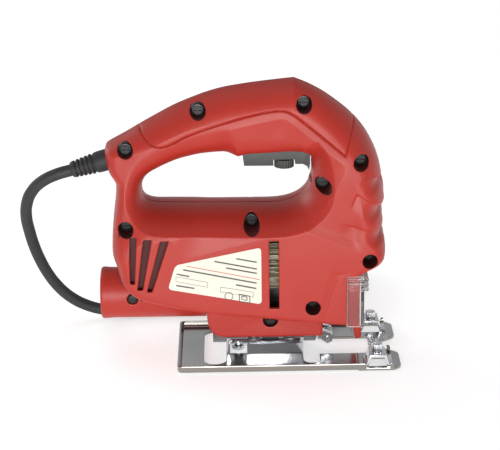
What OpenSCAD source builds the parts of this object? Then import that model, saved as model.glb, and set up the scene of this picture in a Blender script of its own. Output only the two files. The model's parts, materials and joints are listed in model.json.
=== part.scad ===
// Corded jigsaw: two plastic half shells around a motor, gear train and blade plunger,
// on a pressed steel shoe that tilts for bevel cuts.
// +X is the cutting direction, +Z up, origin at the middle of the sole.

/* [Housing] */
// Half width of the body
body_w = 31; // [30:0.5:32]
// Half width of the handle
handle_w = 18.5; // [18:0.5:19.5]
// Wall thickness of the shells
wall = 2.5; // [2:0.1:2.6]

/* [Motor and gears] */
// Height of the motor shaft above the sole
shaft_z = 60; // [59.8:0.1:60.2]
// Radius of the cooling fan
fan_r = 20; // [18:0.5:20.5]
// Teeth on the pinion
pinion_teeth = 8; // [8:1:8]
// Teeth on the drive gear
gear_teeth = 40; // [40:1:40]
// Gear module
gear_module = 1; // [1:0.1:1]
// Crank radius, half of the stroke
crank_r = 9; // [8:0.5:9]

/* [Shoe] */
// Length of the shoe
shoe_l = 131; // [130:1:132]
// Width of the shoe
shoe_w = 68; // [66:1:70]
// Thickness of the shoe plate
shoe_t = 1.8; // [1.6:0.1:2]
// Height of the rolled edges
shoe_h = 4.6; // [4:0.1:5]
// Height of the bevel axis above the sole
bevel_z = 20; // [20:0.5:20]

/* [Dust tube and lead] */
// Outer radius of the dust tube
tube_r = 15.4; // [15:0.1:15.4]
// Inner radius of the dust tube
tube_bore = 12.5; // [12:0.1:13]
// Radius of the mains lead
cord_r = 3.5; // [3:0.1:3.6]

/* [Hidden] */
$fn = 48;
gear_z = shaft_z + gear_module * (pinion_teeth + gear_teeth) / 2;
px = 31;          // plunger axis in X
tube_z = 38.4;    // dust tube axis

red = [0.72, 0.16, 0.13];
dark = [0.22, 0.24, 0.23];
zinc = [0.80, 0.81, 0.82];
steel = [0.60, 0.61, 0.63];
black = [0.06, 0.06, 0.07];

// Side outlines, in X and Z, counter-clockwise.
outline = [[-101.5,56],[48,56],[53,58],[55.5,64],[56,76],[54.5,80],[55.5,89],[54.5,94],[56.5,99],[54,112],
  [52.4,120.5],[48,131],[41,141.5],[31.8,150.6],[22.6,157.6],[13.5,163.2],[4.5,168],[-4.6,167],[-27,164.5],
  [-36,163.2],[-45.5,160.4],[-64,153.2],[-82.5,143],[-104.5,130],[-104.5,124],[-102.3,115.5],[-98,109.5],[-99.6,97],[-101,80]];
opening = [[-80,96.5],[-76,95],[-50,94.3],[-8,94.3],[0,95.6],[6,97.6],[10,101],[12.4,105],[13.5,111],[13.8,118],
  [13.4,124],[11,128],[-27,128],[-28,124.6],[-32,126.2],[-46,126],[-55,124.4],[-65,121.6],[-74,117.8],[-79,115],
  [-82,111],[-83.8,105],[-83.4,99.6]];
middle = [[-99.5,50],[50,56],[54,62],[55,76],[54,94],[55,99],[53,112],[48,127],[42,135],[34,141],[18,136],[16.6,126],
  [17.4,118],[17,110],[15.4,104],[12,98],[4,93],[-6,90.5],[-98.5,90.5]];
body = [[-96.5,52],[-91,46],[-86,43],[-75,40.8],[-60,38.2],[-50,36.4],[32,27.4],[42,27.4],[42,58],[48,60.5],[52.5,63],
  [54.5,68],[55,76],[54,80],[54.5,94],[53,100],[51,112],[46,122],[38,128],[31,123],[27,108],[21,94],[12,87],[0,83],[-98,83],[-98.5,66]];
// Moves a closed outline inwards by d.
function inset(p, d) = [for (i = [0:len(p)-1]) let (a = p[(i+len(p)-1)%len(p)], b = p[i], c = p[(i+1)%len(p)],
  u = (b-a)/norm(b-a), v = (c-b)/norm(c-b), n1 = [-u[1],u[0]], n2 = [-v[1],v[0]], m = (n1+n2)/norm(n1+n2)) b + m*d/(m*n1)];

// Draws an outline in the X-Z plane, from y = 0 to y = -h.
module ex(h, p) { rotate([90,0,0]) linear_extrude(h) polygon(p); }
// The same between two values of y.
module slab(y0, y1, p) { translate([0,y1,0]) ex(y1-y0, p); }
// A cylinder along X, or along Y, from a to b.
module cx(r, a, b, y, z, f=48) { translate([a,y,z]) rotate([0,90,0]) cylinder(r=r, h=b-a, $fn=f); }
module cy(r, a, b, x, z, f=36) { translate([x,a,z]) rotate([-90,0,0]) cylinder(r=r, h=b-a, $fn=f); }
module bx(a, b) { translate(a) cube([b[0]-a[0], b[1]-a[1], b[2]-a[2]]); }

// Case screws: x, z, half width of the case there, depth of the recess, boss radius
screws = [[-91.8,130.6,17,6.5,4.9],[-50.3,152.4,16.5,8.5,4.9],[9.4,156.4,17,8.5,4.9],[41,124.6,25,9,4.9],[20.2,110,23,11,4],
  [-20.9,87.6,25,13,3.8],[-92.6,86.6,24,9,4.9],[46.4,66.8,29,12,4.9],[13.8,38.8,31,12,4.9],[-10.6,27.5,21,3.6,3.3]];

module vents() {
  for (s = [[[-90.6,83],[-86.4,83],[-88.4,55.4],[-90.9,55.4]], [[-82.6,82],[-77.9,82],[-83.9,51.6],[-86.8,51.6]], [[-72.9,81.2],[-68.3,81.2],[-78.6,50.4],[-81.4,50.4]]])
    slab(-33, -20, s);
  bx([-11.2,-33,39],[-5.8,-20,80.4]);
}
module half_shell() {
  difference() {
    union() {
      // shield behind the rear slots
      slab(-25, -23.6, [[-97,54],[-92,49],[-66.5,49],[-66.5,86],[-97,86]]);
      difference() { shell_walls(); vents(); }
    }
    cy(1.55, -12.2, 1, 9.4, 128.4);
    for (s = screws) { cy(4.4, -40, -s[2]+s[3], s[0], s[1]); }
    cx(9.6, -84.2, -76, 0, shaft_z); cx(6, -90, -76, 0, shaft_z);
    // mouth for the lead's sleeve
    translate([-100,0,122]) rotate([0,-106.26,0]) translate([0,0,-1]) cylinder(r=6.8, h=13);
  }
}
module shell_walls() {
      difference() {
        union() {
          difference() { ex(handle_w, outline); translate([0,1,0]) ex(handle_w+2, opening); }
          difference() { ex(25, middle); bx([-110,-26,88],[15,0.1,94]); }
          ex(body_w, body);
          bx([-48,-21,16.5],[20,0,40]);
        }
        difference() {
          translate([0,0.5,0]) ex(handle_w-wall+0.5, inset(outline, wall));
          translate([0,1,0]) ex(handle_w+2, inset(opening, -wall));
        }
        difference() { translate([0,0.5,0]) ex(25-wall+0.5, inset(middle, wall)); bx([-110,-26,85],[15,1,95]); translate([0,1,0]) ex(30, inset(opening, -wall)); }
        translate([0,0.5,0]) ex(body_w-wall+0.5, inset(body, wall));
        bx([-45.8,-19.2,16],[17.8,0.5,43]);
        // open front and underside of the nose, where the blade clamp works
        bx([22,-14,20],[60,0.5,57]);
        // seat of the clear guard
        bx([33,-32,20],[60,-28,57.8]);
        bx([40.8,-32,20],[60,0.5,57.8]);
        // trigger slot in the handle
        bx([-27.5,-9.6,110],[14.5,0.5,135]);
        cx(tube_r+0.1, -130, -46, 0, tube_z);
        bx([-46.2,-13,22],[-40,0.5,42]);
      }
      for (s = screws) cy(s[4], -s[2]+0.6, 0, s[0], s[1]);
      for (s = screws) cy(4.95, -s[2]+0.6, -s[2]+s[3]+1.2, s[0], s[1]);
      // seat of the rear bearing
      bx([-85,-28.6,57],[-77,0,63]);
      intersection() { cx(11.6, -85, -77, 0, shaft_z); bx([-90,-12,53],[-70,0,80]); }
      // side walls behind the clear guard
      bx([30.4,-28,29.5],[40.8,-25.5,60.4]);
      // bearings of the trigger's pin
      cy(3.6, -16.3, -9.7, 9.4, 128.4);
      // prongs either side of the blade
      slab(-12, -7, [[34.6,30],[40.8,30],[40.8,24.8],[43.4,24.4],[43.2,11.4],[39.6,10.6],[38,20]]);
      bx([33.5,-13.9,26],[40.6,-7,31]);
      bx([33.5,-16,28],[40.6,-13.9,31]);
}
module housing_right() { color(red) difference() { half_shell(); for (s = screws) cy(1.9, -40, 1, s[0], s[1]); } }
module housing_left() {
  color(red) mirror([0,1,0]) difference() {
    union() { half_shell(); for (s = screws) intersection() { cy(s[4], -40, 0, s[0], s[1]); cy(s[4]+1, -s[2]+0.6, 0, s[0], s[1]); } for (s = screws) cy(s[4]-0.2, -s[2]+0.6, -s[2]+s[3]+3, s[0], s[1]); }
    for (s = screws) cy(1.7, -12, 1, s[0], s[1]);
    cy(5.2, -40, -8, -17, 140);
  }
}
module housing_screws() {
  color(black) {
    for (s = screws) { cy(4.1, -s[2]+s[3]-2.6, -s[2]+s[3], s[0], s[1]); cy(1.6, -s[2]+s[3]-0.2, 11.5, s[0], s[1]); }
    cy(3, -15, -13.2, -91, 39.6); cy(1.3, -13.4, -12.7, -91, 39.6);
  }
}
module rating_label() { color([0.93,0.91,0.85]) slab(-body_w-0.3, -body_w, [[-69,52.5],[-18.6,42.4],[-16,44.5],[-16,72.4],[-20.6,76.6],[-63.4,67.6],[-65.6,65.6]]); }
module dust_tube() {
  color(red) difference() {
    union() {
      cx(tube_r, -110, -86, 0, tube_z);
      intersection() { cx(tube_r, -87, -48, 0, tube_z); bx([-88,-20,10],[-40,20,38.6]); }
    }
    cx(tube_bore, -111, -84, 0, tube_z);
    intersection() { cx(tube_bore+1, -88, -49.6, 0, tube_z); bx([-89,-20,10],[-40,20,36.8]); }
    cx(6, -60, -40, 0, 30);
    cy(3.3, -20, -13.2, -91, 39.6); cy(1.4, -20, -12.7, -91, 39.6);
  }
}
module trigger() {
  color(dark) difference() {
    slab(-8.6, 8.6, [[-24.6,118.4],[-6,118.2],[4,119],[9,119],[11.4,117.6],[12.6,115.2],[13.2,119],[13.2,126],[12.2,131.4],[4,131.4],[3,130.4],[-23,130.4],[-25.4,124.5]]);
    cy(1.6, -10, 10, 9.4, 128.4);
    bx([-7.8,-10,112],[4.6,2.6,121.8]);
    translate([-1.6,-4.2,121]) cylinder(r=1.6, h=6);
    translate([-20,0,122.4]) cylinder(r=3.4, h=12);
  }
}
module trigger_pin() { color(steel) cy(1.5, -12, 12, 9.4, 128.4); }
module speed_dial() {
  color(dark) translate([-1.6,-4.2,0]) difference() {
    union() { translate([0,0,116.6]) cylinder(r=5.7, h=4.8); translate([0,0,121.2]) cylinder(r=1.5, h=4.6); }
    for (a = [0:15:345]) rotate([0,0,a]) translate([6.1,0,116]) cylinder(r=0.7, h=6, $fn=12);
  }
}
module lock_button() { color(black) { cy(4.9, 14.6, 20.6, -17, 140); cy(6.4, 13.2, 14.7, -17, 140); } }
module lock_spring() { color(steel) difference() { cy(3, 9.2, 10.0, -17, 140); cy(2.2, 9, 11, -17, 140); } }
module switch_body() { color(black) union() { bx([-26,-9,134.6],[8,9,150]); bx([-34,-5,139],[-26,5,147]); } }
module trigger_spring() { color(steel) translate([-20,0,127]) difference() { cylinder(r=2.6, h=7.6); translate([0,0,-1]) cylinder(r=1.9, h=9.6); } }

// Lead. The sleeve leaves the back of the handle, a little below level.
module cord_sleeve() {
  color(black) translate([-100,0,122]) rotate([0,-106.26,0]) difference() {
    union() { cylinder(r1=6.3, r2=4.6, h=25); translate([0,0,-5]) cylinder(r=6.3, h=5.01); translate([0,0,-4.2]) cylinder(r=7.3, h=1.8); }
    translate([0,0,-6]) cylinder(r=3.3, h=28);
  }
}
module cord_clamp() { color(black) difference() { bx([-90,-9,114.6],[-84,9,124.6]); cx(3.4, -91, -83, 0, 121); bx([-91,-3.4,121],[-83,3.4,125]); for (s=[-1,1]) translate([-87,6.3*s,118]) cylinder(r=1.3, h=8); } }
module cord_clamp_screws() { color(steel) for (s=[-1,1]) translate([-87,6.3*s,0]) { translate([0,0,118.2]) cylinder(r=1.2, h=6.6); translate([0,0,124.7]) cylinder(r=2.4, h=1.6); } }
// Points along the lead, from the sleeve to the coil and from the coil to the plug
route = [[-124,0,115],[-133.6,0,112.2],[-142,1.5,107.6],[-148.4,5,100.6],[-152.4,10,91.5],[-154,16,81],[-153.5,22,70],[-152,27.5,58.5],
  [-149.5,32.5,47.5],[-146,37,37],[-141,41,27],[-134,44.5,18],[-125,47.5,11],[-114,50,6.4],[-102,52,4.4],[-89,53.6,3.8],
  [-75,54.8,3.8],[-60,55.8,3.8],[-45,56.4,4],[-28,56.8,4.4],[-12,57,4.7],[4,57,4.7]];
tail = [[4,132.5,18.3],[-12,132.6,18.6],[-26,133,17.6],[-38,133.8,14.4],[-48,134.4,11],[-57.2,135,9.3]];
function unit(v) = v/norm(v);
function dirs(p) = [for (i=[0:len(p)-1]) unit(p[min(i+1,len(p)-1)] - p[max(i-1,0)])];
module sweep(p, r, n=10) {
  d = dirs(p);
  pts = [for (i=[0:len(p)-1]) let (s = unit(cross(d[i],[0.12,-0.2,1])), t = cross(d[i], s)) for (k=[0:n-1]) p[i] + r*(cos(360*k/n)*s + sin(360*k/n)*t)];
  m = len(p);
  polyhedron(points=pts, faces=concat([[for (k=[n-1:-1:0]) k]], [[for (k=[0:n-1]) (m-1)*n+k]],
    [for (i=[0:m-2]) for (k=[0:n-1]) [i*n+k, i*n+(k+1)%n, (i+1)*n+(k+1)%n, (i+1)*n+k]]), convexity=6);
}
module power_cord() { color(black) { sweep(route, cord_r); sweep(tail, cord_r); } }
module cord_coil() { color(black) translate([4,100,0]) rotate_extrude($fn=64) polygon([[25.5,1.2],[46.5,1.2],[46.5,15.2],[43,21.6],[29,21.6],[25.5,15.2]]); }
module cord_tie() { color([0.1,0.1,0.1]) translate([4,100,0]) rotate([0,0,40]) difference() { bx([23.8,-5,0.1],[47.8,5,22.9]); bx([24.8,-6,1.1],[46.7,6,21.8]); } }
module mains_plug() {
  color(black) difference() {
    union() {
      translate([-90,135,9.2]) rotate([0,90,0]) cylinder(r=9, h=10);
      bx([-90,123,0.4],[-78,147,18]);
      translate([-80,135,9.2]) rotate([0,90,0]) cylinder(r1=9, r2=5, h=22);
    }
    for (s=[-1,1]) cx(2.2, -91, -80, 135+9.5*s, 9.2, 24);
  }
}
module plug_pins() { color(steel) for (s=[-1,1]) { cx(2.4, -109, -90, 135+9.5*s, 9.2, 24); cx(2.1, -90, -80.2, 135+9.5*s, 9.2, 24); } }

// Motor
module stator_core() { color(steel) difference() { intersection() { bx([-56,-26,shaft_z-19.4],[-28,26,shaft_z+19.4]); cx(27, -60, -20, 0, shaft_z); } cx(16.4, -60, -20, 0, shaft_z); } }
module field_coils() { color([0.66,0.34,0.13]) for (a = [[-63,-56.1],[-27.9,-21]]) for (s=[-1,1]) difference() { intersection() { cx(22, a[0], a[1], 0, shaft_z); translate([0,0,shaft_z+s*14.5]) cube([200,36,9], center=true); } cx(16.6, -70, -10, 0, shaft_z); } }
module armature_shaft() { color(steel) { cx(4, -77.6, 1.2, 0, shaft_z); cx(2.95, -88, -77.5, 0, shaft_z); cx(2.95, 1.1, 8.4, 0, shaft_z); cx(1.8, 8.3, 26, 0, shaft_z); } }
module armature_core() { color(steel) difference() { cx(15.7, -58, -26, 0, shaft_z); cx(4, -60, -20, 0, shaft_z); for (a=[0:30:330]) translate([0,0,shaft_z]) rotate([a,0,0]) translate([-60,-1,13.5]) cube([40,2,4]); } }
module commutator() { color([0.72,0.42,0.2]) difference() { cx(11, -76, -64, 0, shaft_z); cx(4, -80, -60, 0, shaft_z); } }
module cooling_fan() {
  color([0.74,0.70,0.56]) difference() {
    union() {
      cx(8, -14, -4, 0, shaft_z); cx(16.4, -11.4, -5, 0, shaft_z); cx(fan_r, -5.2, -3.6, 0, shaft_z);
      for (a=[0:10:350]) translate([0,0,shaft_z]) rotate([a,0,0]) translate([-13,-0.6,7]) cube([8.6,1.2,fan_r-7.2]);
      difference() { cx(fan_r, -13, -11.8, 0, shaft_z); cx(fan_r-4.5, -14, -11, 0, shaft_z); }
    }
    cx(4, -20, 0, 0, shaft_z);
  }
}
module spur(z, m, h) {
  r = z*m/2;
  linear_extrude(h) polygon([for (i=[0:z-1]) for (k=[[-0.27,-1.15],[-0.13,0.9],[0.13,0.9],[0.27,-1.15]]) let (a=360*(i+k[0])/z) (r+k[1]*m)*[cos(a), sin(a)]]);
}
module pinion() { color(steel) translate([16.6,0,shaft_z]) rotate([0,90,0]) difference() { spur(pinion_teeth, gear_module, 7.2); translate([0,0,-1]) cylinder(r=1.81, h=20); } }
module bearing(x) { difference() { cx(9.5, x, x+6, 0, shaft_z); cx(3, x-1, x+7, 0, shaft_z); difference() { cx(7.6, x-1, x+0.5, 0, shaft_z); cx(4.6, x-1, x+0.5, 0, shaft_z); } difference() { cx(7.6, x+5.5, x+7, 0, shaft_z); cx(4.6, x+5, x+7, 0, shaft_z); } } }
module rear_bearing() { color(steel) bearing(-84); }
module front_bearing() { color(steel) bearing(2); }
module brush_holders() { color([0.75,0.62,0.3]) for (s=[-1,1]) mirror([0,s<0?1:0,0]) difference() { bx([-75,12.2,shaft_z-4],[-65,22.4,shaft_z+4]); bx([-73.4,11,shaft_z-2.6],[-66.6,21.4,shaft_z+2.6]); } }
module carbon_brushes() { color([0.15,0.15,0.16]) for (s=[-1,1]) mirror([0,s<0?1:0,0]) bx([-73.2,11.4,shaft_z-2.4],[-66.8,16.8,shaft_z+2.4]); }
module brush_springs() { color(steel) for (s=[-1,1]) mirror([0,s<0?1:0,0]) difference() { cy(2.2, 16.9, 21.3, -70, shaft_z); cy(1.5, 16.8, 21.4, -70, shaft_z); } }

// Gear case and blade drive
module gear_bracket() {
  color([0.68,0.69,0.70]) difference() {
    union() {
      cx(13.9, -44.5, 16.5, 0, bevel_z, 96);
      bx([1,-15.5,30],[9,15.5,gear_z+6]);
      bx([-20,-10,30],[9,10,35.6]);
    }
    cx(9.55, 1.9, 8.1, 0, shaft_z); cx(7, 0, 12, 0, shaft_z);
    cx(3, 0, 12, 0, gear_z);
    cy(4.2, -20, 20, -10.6, 27.5); cy(5.2, -20, 20, 13.8, 38.8);
    for (x=[-29.5]) translate([x,0,2]) cylinder(r=2.2, h=16);
    for (x=[-29.5]) translate([x,0,16]) cylinder(r=2.2, h=4);
    cx(3.1, 8.4, 20, 0, 13);
  }
}
module gear_axle() { color(steel) { cx(3, 1, 9, 0, gear_z); cx(2.97, 9, 24, 0, gear_z); cx(4.6, 24, 25, 0, gear_z); } }
module drive_gear() {
  color(steel) difference() {
    union() { translate([17.4,0,gear_z]) rotate([0,90,0]) rotate([0,0,4.5]) spur(gear_teeth, gear_module, 5); cx(7, 12, 17.5, 0, gear_z); cx(2, 22.3, 26.2, 0, gear_z+crank_r); }
    cx(3.02, 0, 40, 0, gear_z);
    for (a=[60:60:300]) translate([0,0,gear_z]) rotate([a,0,0]) cx(3, 0, 40, 0, 13.4, 24);
  }
}
module crank_roller() { color(steel) difference() { cx(4.2, 22.8, 26.2, 0, gear_z+crank_r); cx(2.05, 20, 27, 0, gear_z+crank_r); } }
module plunger_guide() {
  color([0.68,0.69,0.70]) difference() {
    union() { bx([36.4,-15,46],[39.2,15,118]); bx([25.4,-9,46],[39.2,9,54]); bx([25.4,-9,109],[39.2,9,117]); }
    translate([px,0,40]) cylinder(r=6, h=90);
  }
}
module bush(z) { translate([px,0,z]) difference() { cylinder(r=6, h=8); translate([0,0,-1]) cylinder(r=4.05, h=12); } }
module upper_bush() { color([0.76,0.58,0.30]) bush(109); }
module lower_bush() { color([0.76,0.58,0.30]) bush(46); }
// Drawn at the top of its stroke
module plunger() {
  color(steel) difference() {
    union() {
      translate([px,0,38]) cylinder(r=4, h=48); translate([px,0,101]) cylinder(r=4, h=35);
      bx([27.2,-17,gear_z+crank_r-8],[33.4,17,gear_z+crank_r+8.4]);
    }
    bx([26,-13.6,gear_z+crank_r-4.4],[40,13.6,gear_z+crank_r+4.4]);
    translate([px-4,-0.7,30]) cube([8,1.4,16]);
  }
}
module blade_clamp() { color(zinc) difference() { translate([px,0,34.6]) cylinder(r=7, h=9.4); translate([px,0,38]) cylinder(r=4.02, h=12); bx([px-4.4,-0.9,30],[px+4.4,0.9,48]); cx(1.6, px, px+10, 0, 41); cy(1.6, -10, 0, px, 41); } }
module clamp_screws() { color(black) { cx(1.55, px+4.1, px+7.4, 0, 41, 24); cy(1.55, -7.4, -4.1, px, 41, 24); } }
module roller_bracket() { color(zinc) difference() { union() { bx([16.6,-5.6,9],[20,5.6,16.2]); for (s=[-1,1]) translate([0,4.4*s,0]) slab(-0.9, 0.9, [[18,9],[23.6,4.8],[26.6,6.4],[26.6,12],[18,16]]); cx(3, 9, 17, 0, 13, 24); } cy(1.25, -10, 10, 23.8, 8.9); } }
module roller_pin() { color(steel) cy(1.2, -6.4, 6.4, 23.8, 8.9, 24); }
module guide_roller() { color(steel) difference() { cy(3.7, -3, 3, 23.8, 8.9); cy(1.25, -5, 5, 23.8, 8.9); difference() { cy(5, -0.9, 0.9, 23.8, 8.9); cy(2.9, -1, 1, 23.8, 8.9); } } }
module chip_guard() {
  color([0.85,0.90,0.93,0.35]) difference() {
    union() {
      bx([33.2,-29.8,25.4],[43.4,29.8,57.4]);
      // finger ribs near the top of the front
      for (z=[48.6,51.6,54.6]) bx([33.6,-30.4,z],[46,30.4,z+1.6]);
    }
    bx([32,-28.4,20],[41.4,28.4,60]);
  }
}

// Shoe
module shoe_plate() {
  h = shoe_w/2; l = shoe_l/2;
  color(zinc) difference() {
    union() {
      translate([0,0,0]) linear_extrude(shoe_t) polygon([[-l+4,-h],[l-6,-h],[l,-h+6],[l,-11.5],[57,-5.6],[50,-1.6],[50,1.6],[57,5.6],[l,11.5],[l,h-6],[l-6,h],[-l+4,h],[-l,h-4],[-l,-h+4]]);
      for (s=[-1,1]) mirror([0,s<0?1:0,0]) { bx([-l+4,h-1.4,0],[45,h,shoe_h]); bx([58.6,h-1.4,0],[61,h,shoe_h-1]); }
      bx([-l,-h+4,0],[-l+1.4,h-4,shoe_h]);
    }
    hull() for (y=[-17.4,17.4]) translate([-43.4,y,-1]) cylinder(r=6.6, h=6);
    hull() for (y=[-19.2,19.2]) translate([13.8,y,-1]) cylinder(r=4.8, h=6);
    bx([-34.5,-8.8,-1],[-1.5,8.8,5]);
    bx([18.4,-11.7,-1],[48.6,11.7,5]);
    bx([48,-1.6,-1],[52,1.6,5]);
    for (s=[-1,1]) translate([51.5,24.5*s,0]) cube([13,12,9], center=true);
  }
}
module tilt_saddle() {
  color(zinc) difference() {
    union() {
      difference() { cx(16, -36.4, 9, 0, bevel_z, 96); cx(14.2, -40, 10, 0, bevel_z, 96); translate([-60,-30,bevel_z-16*cos(66)]) cube([100,60,60]); translate([-15.4,-30,bevel_z-16*cos(56.5)]) cube([9.6,60,60]); }
      for (x=[-36.4,7.2]) difference() { bx([x,-10,shoe_t],[x+1.8,10,11]); cx(15.9, -50, 20, 0, bevel_z, 96); }
      bx([4.6,-10,shoe_t],[9,10,shoe_t+1.4]);
      // side walls down to the plate, open where the bolt's head swings past
      for (s=[-1,1]) mirror([0,s<0?1:0,0]) difference() { bx([-36.4,9.2,shoe_t-0.01],[9,10.5,9]); cx(15.9, -50, 20, 0, bevel_z, 96); bx([-34.6,8,0],[-24.4,12,10]); }
    }
    for (x=[-29.5]) intersection() { bx([x-2.6,-30,0],[x+2.6,30,40]); difference() { cx(17, x-5, x+5, 0, bevel_z); translate([-60,-30,bevel_z-14.2*cos(55)]) cube([100,60,60]); } }
    for (x=[-20.5,0.5]) for (s=[-1,1]) translate([x,14.6*s,13.4]) rotate([s*60,0,0]) cylinder(r=3.2, h=8, center=true);
  }
}
module clamp_arches() {
  color(zinc) for (s=[-1,1]) mirror([0,s<0?1:0,0]) difference() {
    slab(18.5, 31.5, [[43.8,1.8],[46,1.8],[48,7],[55.4,7],[57.2,1.8],[60.4,1.8],[60.4,3.2],[58.2,3.2],[56.4,8.6],[47,8.6],[45.2,3.2],[43.8,3.2]]);
    translate([51.7,24,0]) cylinder(r=2.1, h=12);
  }
}
module tilt_bolt() { color(steel) for (x=[-29.5]) translate([x,0,0]) difference() { union() { translate([0,0,0.8]) cylinder(r=3.9, h=2.2); translate([0,0,2.9]) cylinder(r=2.15, h=14); } cylinder(r=2.0, h=2.2, $fn=6); } }
module tilt_washer() { color(zinc) for (x=[-29.5]) translate([x,0,3]) difference() { cylinder(r=4.4, h=0.7); translate([0,0,-1]) cylinder(r=2.2, h=3); } }
module guide_screw_right() { color(zinc) translate([51.7,-24,0]) gs(); }
module guide_screw_left() { color(zinc) translate([51.7,24,0]) gs(); }
module gs() { difference() { union() { translate([0,0,9]) cylinder(r=3.1, h=3.9); translate([0,0,4.8]) cylinder(r=2.0, h=4.3); } translate([-4,-0.5,11.7]) cube([8,1,2]); for (a=[0:30:330]) rotate([0,0,a]) translate([3.35,0,8]) cylinder(r=0.5, h=6, $fn=12); } }
module guide_nuts() { color(zinc) for (s=[-1,1]) translate([51.7,24*s,5.0]) difference() { cylinder(r=3.3, h=1.98, $fn=6); translate([0,0,-1]) cylinder(r=2.06, h=5); } }

housing_right();
housing_left();
housing_screws();
rating_label();
dust_tube();
trigger();
trigger_pin();
speed_dial();
lock_button();
lock_spring();
switch_body();
trigger_spring();
cord_sleeve();
cord_clamp();
cord_clamp_screws();
power_cord();
cord_coil();
cord_tie();
mains_plug();
plug_pins();
stator_core();
field_coils();
armature_shaft();
armature_core();
commutator();
cooling_fan();
pinion();
rear_bearing();
front_bearing();
brush_holders();
carbon_brushes();
brush_springs();
gear_bracket();
gear_axle();
drive_gear();
crank_roller();
plunger_guide();
upper_bush();
lower_bush();
plunger();
blade_clamp();
clamp_screws();
roller_bracket();
roller_pin();
guide_roller();
chip_guard();
shoe_plate();
tilt_saddle();
clamp_arches();
tilt_bolt();
tilt_washer();
guide_screw_right();
guide_screw_left();
guide_nuts();
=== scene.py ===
import json
import math

import bmesh
import bpy
import numpy as np
from mathutils import Matrix, Vector

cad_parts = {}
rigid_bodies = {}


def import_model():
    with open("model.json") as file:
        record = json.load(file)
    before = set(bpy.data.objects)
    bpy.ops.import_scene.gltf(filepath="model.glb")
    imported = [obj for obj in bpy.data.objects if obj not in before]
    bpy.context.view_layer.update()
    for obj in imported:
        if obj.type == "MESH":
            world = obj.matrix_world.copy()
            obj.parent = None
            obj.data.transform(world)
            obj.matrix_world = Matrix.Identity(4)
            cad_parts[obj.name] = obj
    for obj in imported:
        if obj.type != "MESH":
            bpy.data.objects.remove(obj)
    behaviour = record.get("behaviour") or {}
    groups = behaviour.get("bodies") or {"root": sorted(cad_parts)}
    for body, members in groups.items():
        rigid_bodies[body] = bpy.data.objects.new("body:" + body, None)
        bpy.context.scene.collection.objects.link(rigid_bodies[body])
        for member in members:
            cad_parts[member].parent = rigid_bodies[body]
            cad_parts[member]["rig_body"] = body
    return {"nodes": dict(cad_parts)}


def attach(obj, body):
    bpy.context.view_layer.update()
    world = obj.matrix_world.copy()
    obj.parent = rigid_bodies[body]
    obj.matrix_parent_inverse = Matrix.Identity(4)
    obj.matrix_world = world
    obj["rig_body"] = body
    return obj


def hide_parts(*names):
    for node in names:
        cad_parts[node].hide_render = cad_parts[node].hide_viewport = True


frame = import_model()
NODES = frame["nodes"]
BODY = {n: o["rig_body"] for n, o in NODES.items()}
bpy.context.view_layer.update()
scene = bpy.context.scene

# ---------------------------------------------------------------- camera
E, PSI, ROLL, DIST = math.radians(20.0), math.radians(0.6), math.radians(-0.78), 0.950
target = Vector((-0.0216, 0, 0.0793))
back = Vector((-math.sin(PSI) * math.cos(E), -math.cos(PSI) * math.cos(E), math.sin(E)))
right = (-back).cross(Vector((0, 0, 1))).normalized()
up = right.cross(-back)
r2 = right * math.cos(ROLL) + up * math.sin(ROLL)
u2 = up * math.cos(ROLL) - right * math.sin(ROLL)
cam_data = bpy.data.cameras.new("camera")
cam_data.sensor_width = 36
cam_data.lens = 116.9
cam_data.clip_start = 0.01
cam_data.clip_end = 50
cam = bpy.data.objects.new("camera", cam_data)
scene.collection.objects.link(cam)
cam.matrix_world = Matrix.Translation(target + back * DIST) @ Matrix((r2, u2, back)).transposed().to_4x4()
scene.camera = cam
scene.view_settings.view_transform = "Standard"
scene.view_settings.look = "None"


# ---------------------------------------------------------------- materials
def new_mat(name):
    m = bpy.data.materials.new(name)
    m.use_nodes = True
    nt = m.node_tree
    b = nt.nodes["Principled BSDF"]
    return m, nt, b


def tex_coord(nt):
    c = nt.nodes.new("ShaderNodeTexCoord")
    return c.outputs["Object"]


def noise(nt, vec, scale, detail=3.0, rough=0.5):
    n = nt.nodes.new("ShaderNodeTexNoise")
    n.inputs["Scale"].default_value = scale
    n.inputs["Detail"].default_value = detail
    n.inputs["Roughness"].default_value = rough
    nt.links.new(vec, n.inputs["Vector"])
    return n.outputs["Fac"]


def ramp(nt, fac, a, b, ca, cb):
    r = nt.nodes.new("ShaderNodeValToRGB")
    r.color_ramp.elements[0].position = a
    r.color_ramp.elements[0].color = (*ca, 1)
    r.color_ramp.elements[1].position = b
    r.color_ramp.elements[1].color = (*cb, 1)
    nt.links.new(fac, r.inputs["Fac"])
    return r.outputs["Color"]


def span(nt, fac, a, b):
    r = nt.nodes.new("ShaderNodeMapRange")
    r.inputs["To Min"].default_value = a
    r.inputs["To Max"].default_value = b
    nt.links.new(fac, r.inputs["Value"])
    return r.outputs["Result"]


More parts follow.
